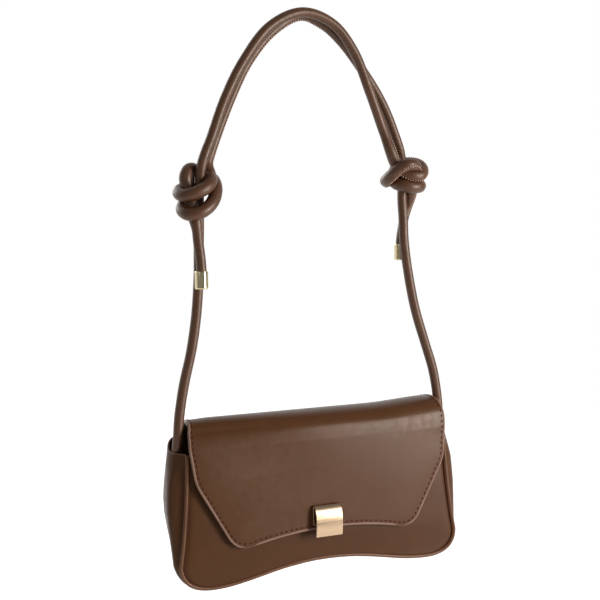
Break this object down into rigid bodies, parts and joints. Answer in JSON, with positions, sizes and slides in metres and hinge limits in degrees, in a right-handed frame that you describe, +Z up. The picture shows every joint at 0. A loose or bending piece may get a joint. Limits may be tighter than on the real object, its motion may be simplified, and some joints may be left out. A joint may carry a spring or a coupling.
{
  "type": "shoulder bag",
  "caption": "Small leather flap bag with flared sides and an arched base, a curved metal clasp, and a short strap of two cords knotted over each other and tipped with metal caps.",
  "frame": {"origin": "underside of the strap's arch, where a hook carries it", "axes": "+Z up, +X to the right seen from the front, +Y to the back; the front faces -Y"},
  "size_m": [0.2596, 0.0574, 0.4602],
  "materials": {
    "leather": "smooth satin",
    "edge": "painted edge",
    "cord": "smooth satin",
    "lining": "matte",
    "gold": "brushed and polished",
    "steel": "satin",
    "magnet": "matte"
  },
  "bodies": {
    "strap": {"left_leg_cord": "cord", "front_arch_cord": "cord", "right_knot": "cord", "right_leg_cord": "cord", "rear_arch_cord": "cord", "left_knot": "cord"},
    "bag": {"front_panel": "leather", "back_panel": "leather", "gusset": "leather", "front_piping": "edge", "back_piping": "edge", "lining_front": "lining", "lining_back": "lining", "lining_gusset": "lining", "flap_root": "leather", "left_strap_end": "cord", "right_strap_end": "cord", "left_strap_patch": "leather", "right_strap_patch": "leather", "catch_cup": "gold", "catch_magnet": "magnet", "catch_washer": "steel"},
    "flap": {"flap_leather": "leather", "flap_lining": "lining", "clasp_plate": "gold", "clasp_keeper": "steel", "left_clasp_screw": "steel", "right_clasp_screw": "steel"},
    "left_tail": {"left_tail_cord": "cord", "left_end_cap": "gold"},
    "right_tail": {"right_tail_cord": "cord", "right_end_cap": "gold"}
  },
  "joints": [
    {"name": "bag_swing", "type": "hinge", "parent": "strap", "child": "bag", "pos_m": [0.007, 0, -0.3295], "axis": [1, 0, 0], "range_deg": [-80, 20]},
    {"name": "flap_hinge", "type": "hinge", "parent": "bag", "child": "flap", "pos_m": [0.007, 0.0285, -0.3384], "axis": [-1, 0, 0], "range_deg": [0, 150]},
    {"name": "left_tail_swing", "type": "hinge", "parent": "strap", "child": "left_tail", "pos_m": [-0.0981, -0.0085, -0.1639], "axis": [-0.8988, 0.4384, 0], "range_deg": [0, 40]},
    {"name": "right_tail_swing", "type": "hinge", "parent": "strap", "child": "right_tail", "pos_m": [0.1052, 0.0041, -0.1473], "axis": [0.8988, -0.4384, 0], "range_deg": [0, 40]}
  ]
}
